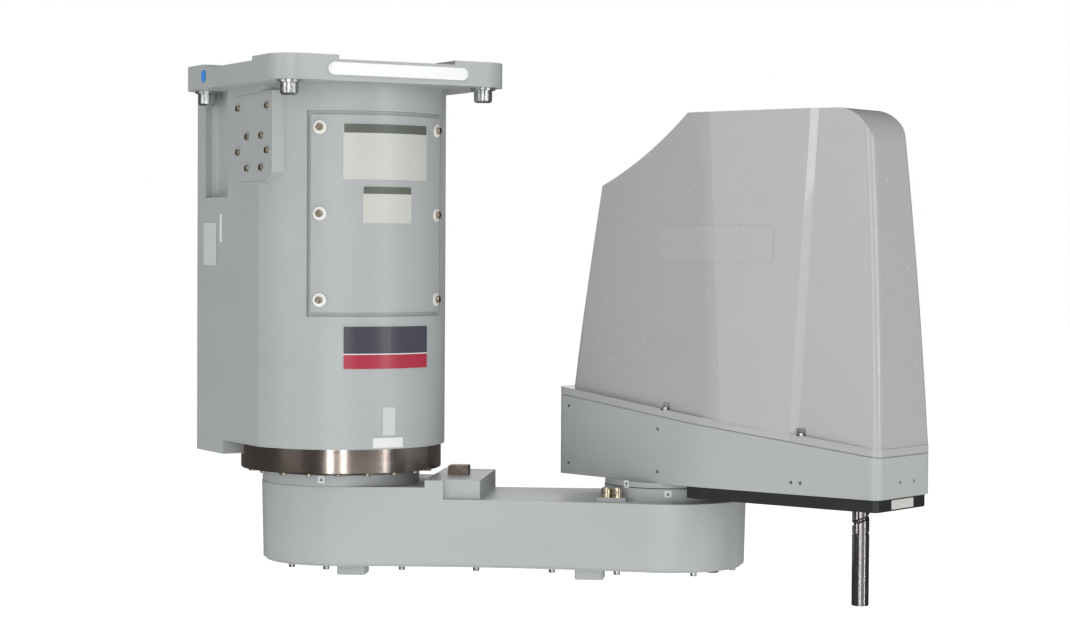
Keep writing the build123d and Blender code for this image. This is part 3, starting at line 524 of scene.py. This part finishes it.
def cut_sheet(width, height, radius):
    """Flat rounded sheet, cut across and down so that it can bend both ways."""
    bm = bmesh.new()
    bm.faces.new([bm.verts.new((x, y, 0)) for x, y in rounded(width, height, radius)])
    across = (width, CUT_ACROSS, Vector((1, 0, 0)))
    down = (height, CUT_DOWN, Vector((0, 1, 0)))
    for length, step, way in (across, down):
        cuts = max(1, int(length / step))
        for i in range(1, cuts):
            geometry = bm.verts[:] + bm.edges[:] + bm.faces[:]
            spot = way * (length * i / cuts - length / 2)
            bmesh.ops.bisect_plane(bm, geom=geometry, plane_co=spot, plane_no=way)
    return bm


def sticker(name, target, centre, right, up, size, finish, body,
            radius=0.001, lift=0.00025, slot="pale_plastic"):
    """Thin label of a width and height, dropped on the surface and given its thickness."""
    right = Vector(right).normalized()
    up = Vector(up).normalized()
    out = right.cross(up).normalized()
    bm = cut_sheet(*size, radius)
    for vertex in bm.verts:
        start = Vector(centre) + right * vertex.co.x + up * vertex.co.y + out * RAY_START
        hit, normal, _, _ = target.ray_cast(start, -out, RAY_REACH)
        if hit is None:
            hit = start - out * RAY_START
            normal = out
        vertex.co = hit + normal * lift
    bmesh.ops.recalc_face_normals(bm, faces=bm.faces[:])
    if sum((face.normal for face in bm.faces), Vector()).dot(out) < 0:
        bmesh.ops.reverse_faces(bm, faces=bm.faces[:])
    grown = bmesh.ops.extrude_face_region(bm, geom=bm.faces[:])
    for item in grown["geom"]:
        if isinstance(item, bmesh.types.BMVert):
            item.co += out * LABEL_THICK
    add(name, bm, finish, body)


def column_sticker(name, target, angles, levels, finish, more):
    """Label on the column between two angles from its front, in degrees, and two levels."""
    first, last = angles
    top, bottom = levels
    a = radians((first + last) / 2)
    place = (COLUMN_R * cos(a), COLUMN_R * sin(a), (top + bottom) / 2)
    width = 2 * COLUMN_R * sin(radians((last - first) / 2))
    sticker(name, target, place, (-sin(a), cos(a), 0), UP, (width, top - bottom), finish, "base", **more)


# What sets a label apart from the usual one: a sharper corner, or a place on top of another label
SHARP = {"radius": 0.0006}
BAND = {"lift": 0.0004, "radius": 0.0003}
FIELD = {"lift": 0.0004, "radius": 0.0005}
COLUMN_LABELS = (
    ("cover_label", (-24.8, 26.8), (-0.0621, -0.1157), silver, {}),
    ("cover_label_band", (-24.4, 26.4), (-0.0626, -0.0712), header, BAND),
    ("cover_label_small", (-14.2, 14.9), (-0.122, -0.1573), silver, {}),
    ("cover_label_small_band", (-13.9, 14.6), (-0.1224, -0.1293), header, BAND),
    ("nameplate", (-24.2, 28.2), (-0.2564, -0.2972), white, SHARP),
    ("nameplate_upper", (-24.1, 28.1), (-0.2565, -0.2824), charcoal, FIELD),
    ("nameplate_lower", (-24.1, 28.1), (-0.2835, -0.2971), red, FIELD),
    ("tape_strip", (-2.6, 4.9), (-0.3345, -0.3613), tape, SHARP),
    ("tape_band", (-8.0, 10.0), (-0.3637, -0.3732), white, SHARP),
)
# Labels on the flat side of the rear block and on the plate's side edge
SIDE_LABELS = (
    ("side_label", (-0.101, -0.1, -0.178), (0.034, 0.043), tape, {}),
    ("side_mark", (-0.072, -0.1, -0.162), (0.006, 0.028), white, {}),
    ("plate_dot", (-0.061, -0.1235, -0.0118), (0.0115, 0.0125), blue, {"radius": 0.0057}),
)
DATUM_PLACE = (0.1229, 0.0015, -0.0128)
DATUM_SIZE = (0.148, 0.0118)
DATUM_CORNER = 0.0058


def base_labels():
    column = surface("base_casting", "access_cover")
    for name, angles, levels, finish, more in COLUMN_LABELS:
        column_sticker(name, column, angles, levels, finish, more)
    casting_only = surface("base_casting")
    for name, place, size, finish, more in SIDE_LABELS:
        sticker(name, casting_only, place, (1, 0, 0), UP, size, finish, "base", **more)
    sticker("datum_strip", casting_only, DATUM_PLACE, (0, 1, 0), UP, DATUM_SIZE, milled, "base",
            radius=DATUM_CORNER, slot="plain_aluminium")


# Joint marks: a square with a triangle on it, in metres
MARK_SIZE = 0.0068
MARK_CORNER = 0.0008
TRIANGLE_HALF = 0.0017
TRIANGLE_FOOT = -0.0015
TRIANGLE_TIP = 0.0018
TRIANGLE_LIFT = 0.00048


def joint_mark(name, target, centre, out, body, tip_up):
    """White square with a small dark triangle that lines up with one on the next part."""
    out = Vector(out).normalized()
    right = UP.cross(out)
    sticker(name, target, centre, right, UP, (MARK_SIZE, MARK_SIZE), white, body, radius=MARK_CORNER)
    bm = bmesh.new()
    way = 1 if tip_up else -1
    hit, _, _, _ = target.ray_cast(Vector(centre) + out * RAY_START, -out, RAY_REACH)
    base = (hit or Vector(centre)) + out * TRIANGLE_LIFT
    corners = [(-TRIANGLE_HALF, TRIANGLE_FOOT), (TRIANGLE_HALF, TRIANGLE_FOOT), (0, TRIANGLE_TIP)]
    bm.faces.new([bm.verts.new(base + right * x + UP * y * way) for x, y in corners])
    add(name + "_triangle", bm, header, body)


# Piece, CAD node under it, joint, way it faces in degrees, distance from the joint, level, body, tip up
JOINT_MARKS = (
    ("j1_mark", "arm1_casting", Vector(), -39.3, 0.078, -0.4055, "arm1", True),
    ("j2_mark_low", "arm1_casting", JOINT2, -31.1, 0.0605, -0.4155, "arm1", True),
    ("j2_mark_high", "j2_ring", JOINT2, -72.2, 0.06, -0.4077, "arm2", False),
)


def arm_marks():
    """Marks either side of the joints."""
    for name, node, joint, angle, reach, level, body, tip_up in JOINT_MARKS:
        way = turned((1, 0, 0), radians(angle))
        joint_mark(name, surface(node), joint + way * reach + UP * level, way, body, tip_up)


# Bare film on the hood and label on the front of arm 2: places in arm 2's millimetres, sizes in metres
FILM_PLACE = (88, -52, -174.5)
FILM_SLOPE = 0.06
FILM_SIZE = (0.136, 0.033)
FILM_CORNER = 0.0015
FRONT_PLACE = (268, 0, -411.2)
FRONT_SIZE = (0.038, 0.0085)


def arm_labels():
    right = turned((1, FILM_SLOPE, 0), ARM2_ANGLE)
    place = at_arm2(*FILM_PLACE)
    sticker("hood_film", surface("hood"), place, right, UP, FILM_SIZE, film, "arm2", radius=FILM_CORNER)
    right = turned((0, 1, 0), ARM2_ANGLE)
    place = at_arm2(*FRONT_PLACE)
    sticker("front_label", surface("arm2_bottom_cover"), place, right, UP, FRONT_SIZE, silver, "arm2")
    arm_marks()


base_labels()
arm_labels()


# Stage: floor, light and camera, in metres
FLOOR_HALF = 14.0
FLOOR_LEVEL = -0.86
FLOOR_GLOW = 0.72
FLOOR_PALE = (0.86, 0.86, 0.86)
FLOOR_PALER = (0.9, 0.9, 0.9)


def stage():
    bm = bmesh.new()
    corners = ((-1, -1), (1, -1), (1, 1), (-1, 1))
    bm.faces.new([bm.verts.new((x * FLOOR_HALF, y * FLOOR_HALF, FLOOR_LEVEL)) for x, y in corners])
    mesh = bpy.data.meshes.new("floor")
    bm.to_mesh(mesh)
    bm.free()
    floor = bpy.data.objects.new("floor", mesh)
    n = Nodes("floor_white")
    n.finish(n.mix(n.ramp(n.noise(1.5, 3.0), 0.0, 1.0), FLOOR_PALE, FLOOR_PALER), 0.7)
    n.shader.inputs["Emission Color"].default_value = (1, 1, 1, 1)
    n.shader.inputs["Emission Strength"].default_value = FLOOR_GLOW
    mesh.materials.append(n.material)
    floor.visible_glossy = False
    bpy.context.scene.collection.objects.link(floor)


def backdrop(tree, colour, strength, node=None):
    """One of the world's backgrounds."""
    node = node or tree.nodes.new("ShaderNodeBackground")
    node.inputs["Color"].default_value = (*colour, 1)
    node.inputs["Strength"].default_value = strength
    return node.outputs["Background"]


def choice(tree, factor, first, second):
    """The second shader where the factor is one, else the first."""
    node = tree.nodes.new("ShaderNodeMixShader")
    tree.links.new(factor, node.inputs["Fac"])
    tree.links.new(first, node.inputs[1])
    tree.links.new(second, node.inputs[2])
    return node.outputs["Shader"]


def world_light():
    """Even fill light, dimmer in reflections, and white behind the object."""
    world = bpy.data.worlds.new("studio")
    world.use_nodes = True
    tree = world.node_tree
    fill = backdrop(tree, (0.8, 0.8, 0.8), 0.5, tree.nodes["Background"])
    dim = backdrop(tree, (0.5, 0.47, 0.45), 0.2)
    seen = backdrop(tree, (1, 1, 1), 1.0)
    path = tree.nodes.new("ShaderNodeLightPath").outputs
    light = choice(tree, path["Is Glossy Ray"], fill, dim)
    light = choice(tree, path["Is Camera Ray"], light, seen)
    tree.links.new(light, tree.nodes["World Output"].inputs["Surface"])
    bpy.context.scene.world = world


# Soft boxes that face the middle of the robot: offset right, up and back, width and height, and power
LIGHT_TARGET = Vector((0.14, 0.12, -0.25))
LIGHTS = (
    ("key_right", (1.9, 0.9, 1.6), (0.6, 1.8), 17),
    ("strip_front", (0.16, 0.25, 2.6), (0.2, 2.2), 9),
    ("strip_crease", (-0.54, 0.2, 2.6), (0.16, 2.0), 10),
    ("strip_right", (1.75, -0.35, 1.3), (0.14, 1.1), 4),
    ("fill_left", (-2.2, 0.7, 1.5), (1.4, 1.8), 14),
    ("fill_back", (-0.4, 0.9, -2.6), (2.0, 1.6), 12),
    ("top", (0.1, 2.2, 0.3), (2.2, 1.6), 18),
    ("floor_fill", (0.3, -0.52, 1.2), (1.6, 0.6), 1.5),
)


def area(name, offset, size, power):
    """Soft box placed by its offset from the robot along the view's axes."""
    data = bpy.data.lights.new(name, "AREA")
    data.shape = "RECTANGLE"
    data.size, data.size_y = size
    data.energy = power
    lamp = bpy.data.objects.new(name, data)
    right, up, back = offset
    lamp.location = LIGHT_TARGET + VIEW_RIGHT * right + UP * up + VIEW_BACK * back
    lamp.rotation_mode = "QUATERNION"
    lamp.rotation_quaternion = (lamp.location - LIGHT_TARGET).to_track_quat("Z", "Y")
    bpy.context.scene.collection.objects.link(lamp)


def camera():
    """Camera at the fitted place, pitched and rolled as fitted."""
    up = UP * cos(CAMERA_PITCH) - VIEW_BACK * sin(CAMERA_PITCH)
    back = UP * sin(CAMERA_PITCH) + VIEW_BACK * cos(CAMERA_PITCH)
    c, s = cos(CAMERA_ROLL), sin(CAMERA_ROLL)
    right = VIEW_RIGHT * c - up * s
    top = VIEW_RIGHT * s + up * c
    x, height, distance = CAMERA_PLACE
    place = VIEW_RIGHT * x + VIEW_BACK * distance + UP * height
    data = bpy.data.cameras.new("camera")
    data.lens = CAMERA_LENS
    data.sensor_width = 36
    data.clip_start = 0.05
    data.clip_end = 60
    cam = bpy.data.objects.new("camera", data)
    cam.matrix_world = Matrix((
        (right.x, top.x, back.x, place.x),
        (right.y, top.y, back.y, place.y),
        (right.z, top.z, back.z, place.z),
        (0, 0, 0, 1)))
    bpy.context.scene.collection.objects.link(cam)
    bpy.context.scene.camera = cam


stage()
world_light()
for row in LIGHTS:
    area(*row)
camera()
bpy.context.scene.view_settings.view_transform = "Standard"
